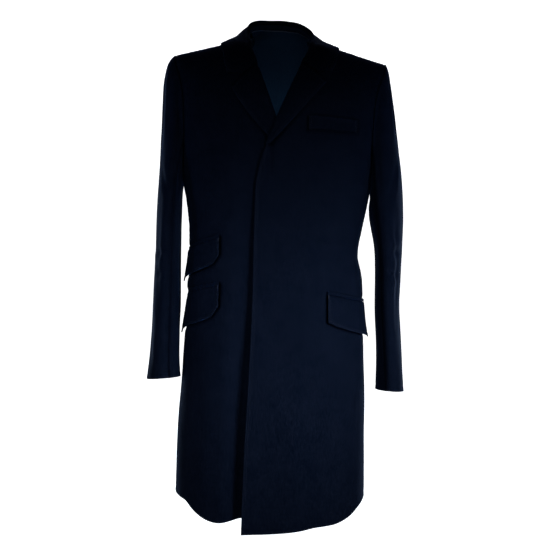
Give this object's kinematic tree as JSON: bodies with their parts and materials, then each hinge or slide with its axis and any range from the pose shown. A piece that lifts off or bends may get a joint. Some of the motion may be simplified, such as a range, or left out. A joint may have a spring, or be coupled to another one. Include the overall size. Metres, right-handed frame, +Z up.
{
  "type": "wool overcoat",
  "caption": "Single-breasted wool overcoat with a fly front, notch lapels, breast welt and slanted flap pockets, filled out as if worn and open at neck, hem and cuffs.",
  "frame": {"origin": "on the centre line between the two points where the shoulder seams meet the neck, where the wearer's shoulders carry the coat", "axes": "+Z up along the body, -Y the front of the coat, +X the wearer's left"},
  "size_m": [0.522, 0.296, 1.0147],
  "materials": {
    "wool": "matt dark navy coating wool with a short brushed nap",
    "lining": "smooth dark blue lining twill"
  },
  "bodies": {
    "root": {"front_left": "wool", "front_right": "wool", "back_left": "wool", "back_right": "wool", "sleeve_top_left": "wool", "sleeve_top_right": "wool", "sleeve_under_left": "wool", "sleeve_under_right": "wool", "lapel_left": "wool", "lapel_right": "wool", "collar_fall": "wool", "collar_stand": "wool", "welt_breast_left": "wool", "flap_hip_left": "wool", "flap_hip_right": "wool", "flap_ticket_right": "wool", "jet_hip_left": "wool", "jet_hip_right": "wool", "jet_ticket_right": "wool", "lining_back_neck": "lining"}
  },
  "joints": []
}
